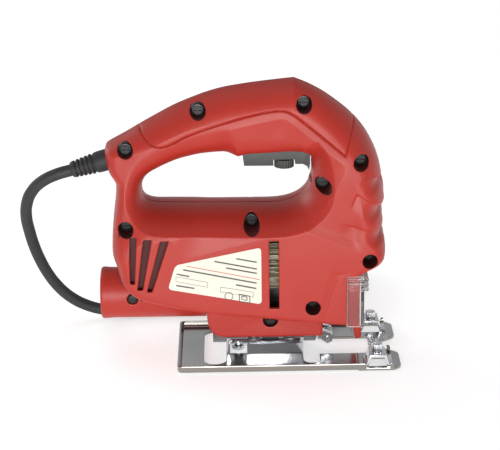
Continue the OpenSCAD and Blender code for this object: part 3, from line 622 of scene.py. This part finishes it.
def case_field(left):
    v = Volume((-112.1, -33.0, 9.6), (59.9, 0.9, 171.0), H)
    X2, Z2 = np.meshgrid(v.x, v.z, indexing="ij")
    so = -poly_sdf(catmull(OUT, True, 1.5, 26), X2, Z2)
    si = poly_sdf(catmull(OPEN, True, 1.5, 40), X2, Z2)
    W = tps([(-95, 125, 16.6), (-85, 132, 17.2), (-60, 140, 18.3), (-30, 146, 18.5), (-10, 149, 18.9), (4, 148, 20.2), (16, 138, 24.2),
        (31.5, 126.5, 28.6), (28.6, 112, 29.8), (23, 98, 30.4), (18, 91, 30.9), (45, 120, 28.6), (40, 100, 30.6), (52, 90, 30.4), (52, 74, 30.6),
        (0, 85, 31.0), (-50, 82, 30.8), (-92, 86, 25.6), (-97, 76, 28.6), (-86, 78, 30.9), (-94, 97, 22.4), (-95, 110, 19.4), (-99, 62, 30.4),
        (-60, 50, 32.5), (0, 50, 32.6), (40, 50, 32), (30, 140, 24.6), (12, 158, 20.4), (40, 137, 25), (-92, 50, 31), (-30, 66, 32.4), (25, 70, 31.8)], X2, Z2, 2.0)
    Ro = tps([(-104, 127, 6), (-98, 109, 5.5), (-100, 90, 6), (-101, 70, 8), (-97, 56, 7), (-90, 47, 4), (-70, 41, 3), (-20, 33, 3), (30, 27, 3),
        (52, 63, 5), (56, 76, 12), (55, 90, 14), (56, 100, 14), (52, 120, 14), (45, 136, 15), (32, 151, 15), (13, 163, 16), (4, 168, 17), (-27, 165, 17.5),
        (-60, 155, 17), (-82, 143, 15), (-95, 135, 9), (-60, 60, 3), (10, 60, 3)], X2, Z2, 1.0)
    Ryo = tps([(-104, 127, 14), (-98, 109, 15), (-100, 90, 15), (-101, 70, 13), (-97, 56, 9), (-90, 47, 5), (-70, 41, 3), (-20, 33, 3), (30, 27, 3),
        (52, 63, 6), (56, 76, 19), (55, 90, 22), (56, 100, 24), (52, 120, 24), (45, 136, 23), (32, 151, 21.5), (13, 163, 19.5), (4, 168, 19), (-27, 165, 18.2),
        (-60, 155, 17.6), (-82, 143, 16.4), (-95, 135, 14.5), (-60, 60, 3), (10, 60, 3)], X2, Z2, 1.0)
    ridge = tps([(-84, 104, 9.6), (-80, 96, 11.4), (-60, 94, 12.6), (-8, 94, 13.2), (6, 98, 14.6), (13, 110, 15.4), (13, 124, 12.4), (-10, 125, 20), (-46, 126, 19.5),
        (-74, 117, 15), (-82, 111, 11.0)], X2, Z2, 1.0)
    u0 = tps([(-84, 104, 0.26), (-80, 96, 0.30), (-60, 94, 0.30), (-8, 94, 0.32), (6, 98, 0.38), (13, 110, 0.40), (13, 124, 0.38), (-10, 125, 0.05), (-46, 126, 0.05),
        (-74, 117, 0.08), (-82, 111, 0.2)], X2, Z2, 1.0)
    u0 = np.clip(u0, 0.03, 0.42)
    Ro, Ryo, Ri = np.clip(Ro, 2.6, 18), np.clip(Ryo, 2.6, 25), np.clip(ridge, 9, 21) / (1 - u0)
    # wedge between the body's side and the edge below the opening
    d, side, s = line_dist([(-70, 67.4), (-48.9, 72.9), (-16.4, 81.4), (-6.2, 82.9), (12.8, 87.5), (22, 89.6)], X2, Z2)
    W = np.minimum(W, 31.0)
    W = np.where(side > 0, np.minimum(W, 31.0 - 0.2 * np.minimum(d, 16) * sstep(-66, -44, X2) * sstep(27, 17, X2) * sstep(114, 100, Z2)), W)
    # crease across the neck
    # slanting face under the handle's front, down to the trigger
    dA = (X2 + 4) * 0.208 - (Z2 - 149.2) * 0.978
    dB = -(X2 - 2.1) * 0.610 - (Z2 - 146.8) * 0.792
    k = 1.2
    dC = -(X2 - 33.4) * 0.933 + (Z2 - 123.6) * 0.364
    dm = -k * np.log(np.exp(-np.clip(dA, -30, 60) / k) + np.exp(-np.clip(dB, -30, 60) / k) + np.exp(-np.clip(dC, -30, 60) / k))
    W = W - 0.30 * np.clip(dm, 0, 24) * sstep(-50, -26, X2) * sstep(98, 110, Z2)
    d, side, s = line_dist([(10.3, 85.4), (20, 81.6), (35.9, 74.4), (43, 71)], X2, Z2)
    W = np.where((side > 0) & (X2 > 10.3), np.minimum(W, 31.0 - 0.26 * np.minimum(d, 5) * sstep(0, 1.0, d) * sstep(44, 36, X2)), W)
    Ryi = np.clip(W * 0.97, 10, 31)
    trig = sstep(-36, -26, X2) * sstep(17, 9, X2) * sstep(112, 122, Z2)
    Ryi = Ryi * (1 - trig) + np.maximum(W - 11.5, 1.2) * trig
    Ri = Ri * (1 - 0.5 * trig)
    Wr = W + Ryi * (1 - np.sqrt(1 - u0**2))
    # surface relief: positive is inwards
    D = np.zeros_like(X2)
    groove = catmull([(-85.2, 143.4), (-83.6, 141.4), (-82.3, 138.9), (-77.9, 135.1), (-72.2, 133.0), (-66.4, 134.3), (-56.2, 139.4), (-41.8, 144.7), (-27.4, 149.0),
        (-15.4, 151.9), (-7.3, 153.3), (-1.6, 153.3), (4.8, 150.3), (32.2, 129.2), (35.3, 138.8), (40.6, 150)], False, 1.2, 50)
    d, side, s = line_dist(groove, X2, Z2)
    D += 1.1 * np.exp(-((d / 0.40) ** 2))
    # the panel inside the groove stands a little proud to its right-hand end
    for (xa, za, xc, zc, xl, zl, amp) in ((56, 109.6, 43.8, 120.4, 38.6, 110.4, 1.5), (56, 95.0, 38.4, 107.9, 33.2, 96.2, 1.6), (56, 82.6, 29.0, 90.7, 24.0, 78.0, 0.9)):
        L1, L2 = math.hypot(xa - xc, za - zc), math.hypot(xl - xc, zl - zc)
        d1 = ((X2 - xc) * (za - zc) - (Z2 - zc) * (xa - xc)) / L1
        d2 = -((X2 - xc) * (zl - zc) - (Z2 - zc) * (xl - xc)) / L2
        D += np.where((d1 > 0) & (d2 > 0), amp * sstep(10.5, 0, d1) * sstep(0, 0.75, d1) * sstep(0, 0.9 if amp > 1 else 8, d2), 0)
    # soft recess beside the guard
    d, side, s = line_dist([(36, 60.4), (32.1, 58.8), (28.1, 57.0), (24.7, 46.5), (21.8, 37.2), (20.4, 31)], X2, Z2)
    D += np.where(side > 0, 0, 0.5 * sstep(6, 0, d) * sstep(0, 0.7, d)) * (Z2 < 60.4)
    ay = np.abs(v.y)[None, :, None].astype(np.float32)
    f32 = lambda a: a.astype(np.float32)[:, None, :]

    def rounded(s_, R, Ry, Wm):
        u = f32(np.clip(1 - s_ / R, 0, None))
        w = np.clip((ay - f32(Wm - Ry)) / f32(Ry), 0, None)
        q = u * u + w * w
        return (np.sqrt(q) - 1) * (u * u * f32(R) + w * w * f32(Ry) + 0.012) / (q + 0.001)

    f = np.maximum(rounded(so, Ro, Ryo, W), rounded(si, Ri, Ryi, Wr))
    f += f32(D) * np.clip((ay - 1.5) / 3.0, 0, 1)
    # hairline where the two halves meet
    f += 0.3 * np.exp(-((ay / 0.5) ** 2))
    X, Y, Z = np.meshgrid(v.x, v.y, v.z, indexing="ij", sparse=True)
    X, Y, Z = X.astype(np.float32), Y.astype(np.float32), Z.astype(np.float32)
    foot2 = poly_sdf(catmull([(-48.0, 38), (-47.6, 29), (-46.6, 23.4), (-44.2, 19.2), (-39.6, 16.9), (-36, 16.6), (19, 16.6), (20, 17.4), (20, 38)], True, 1.0, 40), X2, Z2)
    ff = f32(foot2)
    fy = ay - 21.0
    foot = np.sqrt(np.maximum(ff + 1.8, 0) ** 2 + np.maximum(fy + 1.8, 0) ** 2) + np.minimum(np.maximum(ff + 1.8, fy + 1.8), 0) - 1.8
    solid = np.minimum(f, foot)
    v.F = np.maximum(solid, -(f + 2.4))
    v.cut((-45.8, -19.2, 10), (17.8, 2, 43), box_f((-45.8, -19.2, 5), (17.8, 9, 43), 0.6))
    for x, z, w, dep in screws:
        sl, Xb, Yb, Zb = v.block((x - 6, -w + 0.2, z - 6), (x + 6, 2, z + 6))
        big = np.maximum(np.maximum(np.sqrt((Xb - x) ** 2 + (Zb - z) ** 2) - 5.2, Yb + w - dep - 1.4), solid[sl])
        thin = np.maximum(np.maximum(np.sqrt((Xb - x) ** 2 + (Zb - z) ** 2) - 3.4, Yb), solid[sl])
        v.F[sl] = np.minimum(v.F[sl], np.minimum(big, thin))
    for x, z, w, dep in screws:
        v.cut((x - 6, -40, z - 6), (x + 6, -w + dep, z + 6), lambda X, Y, Z, x=x, z=z, w=w, dep=dep: np.maximum(np.sqrt((X - x) ** 2 + (Z - z) ** 2) - 4.4, Y + w - dep))
        v.cut((x - 3, -w + dep - 1, z - 3), (x + 3, 2, z + 3), lambda X, Y, Z, x=x, z=z: np.sqrt((X - x) ** 2 + (Z - z) ** 2) - 1.9)
    # slots
    for p in ([[-90.6, 83], [-86.4, 83], [-88.4, 55.4], [-90.9, 55.4]], [[-82.6, 82], [-77.9, 82], [-83.9, 51.6], [-86.8, 51.6]],
            [[-72.9, 81.2], [-68.3, 81.2], [-78.6, 50.4], [-81.4, 50.4]], [[-11.2, 39], [-5.8, 39], [-5.8, 80.4], [-11.2, 80.4]]):
        q = np.array(p)
        a = (q[:, 0].min(), -40, q[:, 1].min())
        b = (q[:, 0].max(), -20, q[:, 1].max())
        sl, Xb, Yb, Zb = v.block(a, b)
        X3, Z3 = np.meshgrid(v.x[sl[0]], v.z[sl[2]], indexing="ij")
        s2 = poly_sdf(p, X3, Z3)[:, None, :]
        v.F[sl] = np.maximum(v.F[sl], -np.maximum(s2, Yb + 20))
        # a small chamfer round each slot
        v.F[sl] = np.maximum(v.F[sl], -np.maximum(s2 - 0.35, Yb + 30.75))
    # a plate behind the rear slots hides the parts inside; its faces get the red painted shade further down, so the
    # slots look dark inside
    sl, Xb, Yb, Zb = v.block((-97, -25.2, 48.8), (-66.3, -23.4, 84.4))
    X3, Z3 = np.meshgrid(v.x[sl[0]], v.z[sl[2]], indexing="ij")
    s2 = poly_sdf([[-97, 54], [-92, 49], [-66.5, 49], [-66.5, 84], [-97, 84]], X3, Z3)[:, None, :]
    shield = np.maximum(s2, abs(Yb + 24.3) - 0.75)
    shield = np.maximum(shield, 5.2 - np.sqrt((Xb + 92.6) ** 2 + (Zb - 86.6) ** 2))
    v.F[sl] = np.minimum(v.F[sl], shield)
    # trigger slot, tube, sleeve mouth, nose
    v.cut((-26.4, -9.5, 108), (14.4, 2, 135), box_f((-26.4, -9.5, 108), (14.4, 9.5, 135), 0.4))
    v.cut((-112, -17, 20), (-46, 2, 56), lambda X, Y, Z: np.maximum(np.sqrt(Y**2 + (Z - 38.4) ** 2) - 15.9, X + 46))
    v.cut((-48, -13, 20), (-40, 2, 42), box_f((-50, -13, 15), (-40, 13, 42), 0.3))
    ax = Vector((-0.96, 0, -0.28))

    def mouth(X, Y, Z):
        t = (X + 100) * ax.x + (Z - 122) * ax.z
        r = np.sqrt(np.maximum((X + 100) ** 2 + Y**2 + (Z - 122) ** 2 - t * t, 0))
        return np.maximum(r - 6.8, np.maximum(-1 - t, t - 14))

    v.cut((-114, -8, 110), (-92, 2, 134), mouth)
    v.cut((22, -14, 10), (60, 2, 57), box_f((22, -14, 5), (70, 14, 57), 0.5))
    v.cut((33, -40, 10), (60, -28, 57.8), box_f((33, -50, 5), (80, -28, 57.8), 0.3))
    v.cut((40.8, -40, 10), (60, 2, 57.8), box_f((40.8, -50, 5), (80, 9, 57.8), 0.3))
    v.add((30.4, -28, 29), (40.8, -25.5, 60.4), box_f((30.4, -28, 28.5), (40.8, -25.5, 60.4), 0.3))
    v.add((33.5, -16, 26), (40.6, -7, 31), box_f((33.5, -16, 27), (40.6, -7, 31), 0.3))
    sl, Xb, Yb, Zb = v.block((34, -12, 10.2), (44, -7, 31))
    X3, Z3 = np.meshgrid(v.x[sl[0]], v.z[sl[2]], indexing="ij")
    s2 = poly_sdf([[34.6, 30], [40.8, 30], [40.8, 24.8], [43.4, 24.4], [43.2, 11.4], [39.6, 10.6], [38, 20]], X3, Z3)[:, None, :]
    v.F[sl] = np.minimum(v.F[sl], np.maximum(s2, abs(Yb + 9.5) - 2.5))
    # in the left half, a round hole through the side under the handle
    if left:
        v.cut((-24, -30, 133), (-10, -8, 147), lambda X, Y, Z: np.maximum(np.sqrt((X + 17) ** 2 + (Z - 140) ** 2) - 5.3, Y + 8))
    v.F = np.maximum(v.F, Y + 0.06)
    return v


for left in (False, True):
    v = case_field(left)
    V, Q = v.mesh()
    if left:
        V = V * np.array([1, -1, 1])
        Q = Q[:, ::-1]
    name = "housing_left" if left else "housing_right"
    o = mesh_object(name + "_shell", V, np.ascontiguousarray(Q), M["red"], 40)
    decimate(o, 185000)
    shade(o, 38)
    # the sides of the screw recesses and the shield behind the slots get a darker, rougher red; the darkness is
    # painted shade for these recessed, shadowed places
    o.data.materials.append(M["red_deep"])
    n = len(o.data.polygons)
    C, N = np.empty(n * 3, np.float32), np.empty(n * 3, np.float32)
    o.data.polygons.foreach_get("center", C)
    o.data.polygons.foreach_get("normal", N)
    C, N = C.reshape(-1, 3) * 1000, N.reshape(-1, 3)
    deep = (C[:, 0] > -97) & (C[:, 0] < -66) & (C[:, 2] > 49) & (C[:, 2] < 84) & (np.abs(C[:, 1]) < 25.4) & (np.abs(C[:, 1]) > 23)
    for x, z, w, dep in screws:
        r = np.hypot(C[:, 0] - x, C[:, 2] - z)
        deep |= (r < 4.75) & (np.abs(N[:, 1]) < 0.75) & (np.abs(C[:, 1]) > w - dep - 1.0)
        deep |= (r < 4.6) & (np.abs(C[:, 1]) < w - dep + 1.0) & (np.abs(C[:, 1]) > w - dep - 1.0)
    idx = np.zeros(n, np.int32)
    idx[deep] = len(o.data.materials) - 1
    o.data.polygons.foreach_set("material_index", idx)
    piece(o, name)


# ---------------------------------------------------------------- dust tube
prof = [(0, 12.5), (0, 14.4), (0.4, 15.1), (1.2, 15.4), (2.6, 15.38), (4.4, 15.2), (26, 15.2), (62, 15.2), (62, 12.5)]


def tube_field():
    v = Volume((-111, -17, 20), (-46, 17, 56), 0.5)

    def tube(X, Y, Z):
        r = np.sqrt(Y**2 + (Z - 38.4) ** 2)
        out = 15.05 + 0.35 * np.exp(-(((X + 107.6) / 2.4) ** 2))
        f = np.maximum(r - out, np.maximum(-109.95 - X, X + 48.2))
        f = np.maximum(f, r - 14.3 - (X + 110) * 1.4)
        upper = np.minimum(Z - 38.6, X + 86.4)
        return np.maximum(f, upper)

    v.F = np.broadcast_to(tube(*np.meshgrid(v.x, v.y, v.z, indexing="ij", sparse=True)), v.F.shape).astype(np.float32).copy()
    v.cut((-112, -14, 24), (-84, 14, 52), lambda X, Y, Z: np.maximum(np.sqrt(Y**2 + (Z - 38.4) ** 2) - 12.5 - np.maximum(0, -109.2 - X) * 0.8, X + 84))
    v.cut((-88, -14, 22), (-49.6, 14, 37), lambda X, Y, Z: np.maximum(np.maximum(np.sqrt(Y**2 + (Z - 38.4) ** 2) - 13.3, X + 50), Z - 36.8))
    v.cut((-60, -6, 24), (-44, 6, 37), lambda X, Y, Z: np.sqrt(Y**2 + (Z - 30) ** 2) - 6)
    v.cut((-95, -20, 36), (-87, -13.2, 43.5), lambda X, Y, Z: np.maximum(np.sqrt((X + 91) ** 2 + (Z - 39.6) ** 2) - 3.3, Y + 13.2))
    return v


V, Q = tube_field().mesh()
o = mesh_object("dust_tube_moulded", V, Q, M["red"], 40)
decimate(o, 90000)
shade(o, 40)
piece(o, "dust_tube")


# ---------------------------------------------------------------- label
def rounded_poly(P, r, seg=6):
    P = np.asarray(P, float)
    out = []
    n = len(P)
    for i in range(n):
        a, b, c = P[i - 1], P[i], P[(i + 1) % n]
        u, w = (a - b) / np.linalg.norm(a - b), (c - b) / np.linalg.norm(c - b)
        rr = min(r, 0.45 * np.linalg.norm(a - b), 0.45 * np.linalg.norm(c - b))
        for t in np.linspace(0, 1, seg + 1):
            out.append((1 - t) ** 2 * (b + u * rr) + 2 * t * (1 - t) * b + t**2 * (b + w * rr))
    return out


def plate(P, y0, y1):
    """Vertices and faces of a flat plate in X-Z, from y0 to y1."""
    n = len(P)
    V = [(p[0], y0, p[1]) for p in P] + [(p[0], y1, p[1]) for p in P]
    F = [tuple(range(n)), tuple(range(2 * n - 1, n - 1, -1))] + [(i, i + n, (i + 1) % n + n, (i + 1) % n) for i in range(n)]
    return V, F


lv, lf, lm = [], [], []


def put(P, y0, y1, m):
    V, F = plate(P, y0, y1)
    k = len(lv)
    lv.extend(V)
    lf.extend([tuple(i + k for i in f) for f in F])
    lm.extend([m] * len(F))


put(rounded_poly([[-69.4, 52.2], [-15.8, 42.0], [-15.8, 76.9], [-64.8, 66.9]], 2.6), -31.24, -31.0, 0)


def bar(x0, z0, x1, z1, t, m):
    a, b = np.array([x0, z0]), np.array([x1, z1])
    d = (b - a) / np.linalg.norm(b - a)
    n_ = np.array([-d[1], d[0]]) * t / 2
    put([a - n_, b - n_, b + n_, a + n_], -31.285, -31.2, m)


def frame_box(x0, z0, x1, z1, h_, t):
    bar(x0, z0, x1, z1, t, 1)
    bar(x0, z0 - h_, x1, z1 - h_, t, 1)
    bar(x0, z0, x0, z0 - h_, t, 1)
    bar(x1, z1, x1, z1 - h_, t, 1)


bar(-58.4, 66.4, -17.0, 57.4, 0.38, 2)
for (x0, z0, x1, z1) in ((-30, 70.4, -18.4, 68.0), (-42.5, 69.0, -18.4, 63.9), (-36, 64.9, -18.4, 61.2), (-60.4, 64.2, -18.6, 55.2), (-64.2, 61.6, -57, 60.0),
        (-30.4, 54.4, -18.8, 51.9), (-64.6, 54.6, -54.2, 52.6)):
    bar(x0, z0, x1, z1, 0.85, 1)
frame_box(-64.6, 60.0, -46.6, 56.2, 3.0, 0.22)
frame_box(-39.4, 53.2, -20.6, 49.6, 3.0, 0.22)
frame_box(-28.6, 48.6, -22.6, 47.2, 4.4, 0.5)
frame_box(-27.2, 47.3, -24.2, 46.6, 2.0, 0.5)
ring = [(-34.6 + 2.3 * math.cos(a), 47.4 + 2.3 * math.sin(a)) for a in np.linspace(0, 2 * math.pi, 25)]
for p, q in zip(ring[:-1], ring[1:]):
    bar(p[0], p[1], q[0], q[1], 0.4, 1)
label = mesh_object("rating_label_printed", lv, lf, [M["label"], M["ink"], M["ink_red"]], 20, lm)
piece(label, "rating_label")


# ---------------------------------------------------------------- case screws with a cross in the head
def cross_screws():
    V, F = [], []

    def turned(x, z, prof, seg=28):
        k = len(V)
        for y, r in prof:
            for i in range(seg):
                a = 2 * math.pi * i / seg
                V.append((x + r * math.cos(a), y, z + r * math.sin(a)))
        for j in range(len(prof) - 1):
            for i in range(seg):
                F.append((k + j * seg + i, k + (j + 1) * seg + i, k + (j + 1) * seg + (i + 1) % seg, k + j * seg + (i + 1) % seg))
        F.append(tuple(k + i for i in range(seg)))
        F.append(tuple(k + (len(prof) - 1) * seg + i for i in range(seg - 1, -1, -1)))

    for x, z, w, dep in screws:
        y = -w + dep
        turned(x, z, [(y - 0.9, 2.75), (y - 2.0, 2.8), (y - 1.95, 3.2), (y - 1.4, 3.85), (y - 0.7, 4.1), (y, 4.1), (y, 1.6), (11.0, 1.6), (11.5, 1.0)])
        # four raised quadrants leave a cross between them
        for a0 in range(4):
            k = len(V)
            P = []
            g = 0.5
            for t in np.linspace(12, 78, 6):
                a = math.radians(t + 90 * a0)
                P.append((2.7 * math.cos(a), 2.7 * math.sin(a)))
            a = math.radians(45 + 90 * a0)
            P.append((math.cos(a) * g * 1.414, math.sin(a) * g * 1.414))
            n = len(P)
            for yy, sc in ((y - 0.85, 1.0), (y - 2.3, 0.9)):
                for p in P:
                    V.append((x + p[0] * sc, yy, z + p[1] * sc))
            F.append(tuple(k + n + i for i in range(n)))
            F.append(tuple(k + i for i in range(n - 1, -1, -1)))
            for i in range(n):
                F.append((k + i, k + (i + 1) % n, k + n + (i + 1) % n, k + n + i))
    turned(-91, 39.6, [(-15, 1.6), (-14.9, 2.4), (-14.2, 3.0), (-13.2, 3.0), (-13.2, 1.3), (-12.7, 1.3)])
    o = mesh_object("housing_screws_cross", V, F, M["screw"], 32)
    bm = bmesh.new()
    bm.from_mesh(o.data)
    bmesh.ops.recalc_face_normals(bm, faces=bm.faces)
    bm.to_mesh(o.data)
    bm.free()
    shade(o, 32)
    return o


piece(cross_screws(), "housing_screws")


# ---------------------------------------------------------------- clear guard
def guard_field():
    v = Volume((31, -31.4, 24), (48, 31.4, 59), 0.4)
    v.add((33, -30, 25), (46.6, 30, 58), box_f((33.2, -29.8, 25.4), (43.4, 29.8, 57.4), 1.2))
    v.cut((30, -29, 20), (42, 29, 60), box_f((25, -28.5, 10), (41.6, 28.5, 70), 0.8))
    for k in range(3):
        z = 49.4 + 3.0 * k
        v.add((33, -30.6, z - 1), (46.2, 30.6, z + 1), lambda X, Y, Z, z=z: np.maximum(np.maximum(box_f((33.6, -30.38, z - 0.8), (45.9, 30.38, z + 0.8), 0.6)(X, Y, Z), -box_f((20, -29.2, 0), (42.3, 29.2, 99), 0.5)(X, Y, Z)), 33.6 - X))
    return v


V, Q = guard_field().mesh()
o = mesh_object("chip_guard_moulded", V, Q, M["clear"], 40)
decimate(o, 60000)
shade(o, 40)
# the guard's rim faces get the painted edge highlight material
o.data.materials.append(M["clear_edge"])
n = len(o.data.polygons)
C, N = np.empty(n * 3, np.float32), np.empty(n * 3, np.float32)
o.data.polygons.foreach_get("center", C)
o.data.polygons.foreach_get("normal", N)
C, N = C.reshape(-1, 3) * 1000, N.reshape(-1, 3)
edge_highlight_faces = ((C[:, 0] < 33.7) & (N[:, 0] < -0.5)) | ((C[:, 2] > 56.8) & (N[:, 2] > 0.5)) | ((C[:, 2] < 26.0) & (N[:, 2] < -0.5))
edge_highlight_faces |= (C[:, 2] > 48) & (C[:, 2] < 56.6) & (np.abs(N[:, 2]) > 0.75) & ((np.abs(C[:, 1]) > 29.6) | (C[:, 0] > 43.2))
o.data.polygons.foreach_set("material_index", edge_highlight_faces.astype(np.int32))
piece(o, "chip_guard")


# ---------------------------------------------------------------- pressed shoe
def shoe_field():
    v = Volume((-66.5, -35, -0.9), (66.5, 35, 5.5), 0.4)
    X2, Y2 = np.meshgrid(v.x, v.y, indexing="ij")
    edge = rounded_poly([[-65.5, -34], [61.6, -34], [65.5, -30.4], [65.5, -11.5], [57, -5.6], [50, -1.6], [50, 1.6], [57, 5.6], [65.5, 11.5], [65.5, 30.4], [61.6, 34], [-65.5, 34]], 3.2)
    d2 = poly_sdf(edge, X2, Y2)[:, :, None]
    Z = v.z[None, None, :]
    X, Y = v.x[:, None, None], v.y[None, :, None]
    # plate whose lower edge is rounded, with the margin turned up
    low = np.sqrt(np.maximum(d2 + 1.9, 0) ** 2 + np.maximum(1.9 - Z, 0) ** 2) - 1.9
    outer = np.maximum(low, d2)
    top = 1.5 + np.maximum(0, d2 + 2.6) ** 2 * 1.4
    flat = np.maximum(outer, Z - np.minimum(top, 4.55))
    front_flat = np.maximum(np.maximum(d2, -Z), Z - 1.7)
    sides = np.minimum(np.maximum(flat, X - 44.5), np.maximum(flat, np.maximum(58.8 - X, X - 61.0)))
    mid = np.maximum(flat, np.abs(Y) - 31.9)
    mid = np.maximum(mid, X - 60)
    v.F = np.minimum(np.minimum(sides, np.maximum(front_flat, 40 - X)), np.maximum(np.maximum(flat, Z - 1.5), 0 * X)).astype(np.float32)
    for lo_, hi_, r in (((-50, -24, -5), (-36.8, 24, 9), 6.55), ((9, -24, -5), (18.6, 24, 9), 4.75), ((-34.5, -8.8, -5), (-1.5, 8.8, 9), 0.6), ((18.4, -11.7, -5), (48.6, 11.7, 9), 1.2),
            ((47, -1.6, -5), (52, 1.6, 9), 0.4), ((45, -30.5, -5), (58, -18.5, 9), 1.0), ((45, 18.5, -5), (58, 30.5, 9), 1.0)):
        c = ((lo_[0] + hi_[0]) / 2, (lo_[1] + hi_[1]) / 2)
        sx, sy = (hi_[0] - lo_[0]) / 2 - r, (hi_[1] - lo_[1]) / 2 - r

        def hole(X, Y, Z, c=c, sx=sx, sy=sy, r=r):
            qx, qy = abs(X - c[0]) - sx, abs(Y - c[1]) - sy
            d = np.sqrt(np.maximum(qx, 0) ** 2 + np.maximum(qy, 0) ** 2) + np.minimum(np.maximum(qx, qy), 0) - r
            return d + 0 * Z

        v.cut((lo_[0], lo_[1], -1), (hi_[0], hi_[1], 6), hole)
    return v


V, Q = shoe_field().mesh()
o = mesh_object("shoe_plate_pressed", V, Q, M["shoe"], 40)
decimate(o, 120000)
shade(o, 40)
piece(o, "shoe_plate")

# ---------------------------------------------------------------- other pieces with their edges rounded
for n, w, sg in (("trigger", 0.7, 3), ("speed_dial", 0.3, 2), ("lock_button", 0.5, 3), ("tilt_saddle", 0.3, 2), ("clamp_arches", 0.35, 3), ("gear_bracket", 0.35, 2),
        ("plunger_guide", 0.5, 2), ("blade_clamp", 0.4, 2), ("roller_bracket", 0.3, 2), ("guide_roller", 0.25, 2), ("cooling_fan", 0.2, 1), ("guide_screw_right", 0.25, 2),
        ("guide_screw_left", 0.25, 2), ("guide_nuts", 0.2, 2), ("tilt_bolt", 0.25, 2), ("plunger", 0.3, 2), ("switch_body", 0.5, 2), ("cord_clamp", 0.4, 2), ("stator_core", 0.4, 2),
        ("field_coils", 1.6, 4), ("brush_holders", 0.3, 2), ("drive_gear", 0.15, 1)):
    if n in NODES:
        soften(n, w, sg)

# ---------------------------------------------------------------- stage and light
bpy.ops.mesh.primitive_plane_add(size=80, location=(0, 0, -0.0004))
floor = bpy.context.object
floor.name = "floor"
fm, nt, b = new_mat("pale_floor")
nt.links.new(ramp(nt, noise(nt, tex_coord(nt), 3.0, 3.0), 0.2, 0.8, (0.90, 0.90, 0.90), (0.93, 0.93, 0.93)), b.inputs["Base Color"])
b.inputs["Roughness"].default_value = 0.7
b.inputs["Specular IOR Level"].default_value = 0.2
b.inputs["Emission Color"].default_value = (1, 1, 1, 1)
b.inputs["Emission Strength"].default_value = 0.5
floor.data.materials.append(fm)

world = bpy.data.worlds.new("world")
scene.world = world
world.use_nodes = True
wt = world.node_tree
bg = wt.nodes["Background"]
tc = wt.nodes.new("ShaderNodeTexCoord")
sx = wt.nodes.new("ShaderNodeSeparateXYZ")
wt.links.new(tc.outputs["Generated"], sx.inputs[0])
rp = wt.nodes.new("ShaderNodeValToRGB")
rp.color_ramp.elements[0].position = 0.0
rp.color_ramp.elements[0].color = (1, 1, 1, 1)
rp.color_ramp.elements[1].position = 0.75
rp.color_ramp.elements[1].color = (0.62, 0.62, 0.63, 1)
wt.links.new(sx.outputs["Z"], rp.inputs["Fac"])
wt.links.new(rp.outputs["Color"], bg.inputs["Color"])
bg.inputs["Strength"].default_value = 0.62


def area(name, loc, aim, size, power, color=(1, 1, 1)):
    d = bpy.data.lights.new(name, "AREA")
    d.shape = "RECTANGLE"
    d.size, d.size_y = size
    d.energy = power
    d.color = color
    o = bpy.data.objects.new(name, d)
    scene.collection.objects.link(o)
    o.location = loc
    o.rotation_euler = (Vector(aim) - Vector(loc)).to_track_quat("-Z", "Y").to_euler()
    return o


area("key", (-0.10, -1.45, 0.17), (-0.02, 0, 0.09), (0.8, 0.34), 14.5)
area("top", (-0.3, 0.25, 1.5), (0, 0, 0), (1.2, 1.2), 2.0)
area("fill", (-1.5, 1.15, 0.8), (0, 0.05, 0.09), (0.8, 0.6), 8.0)
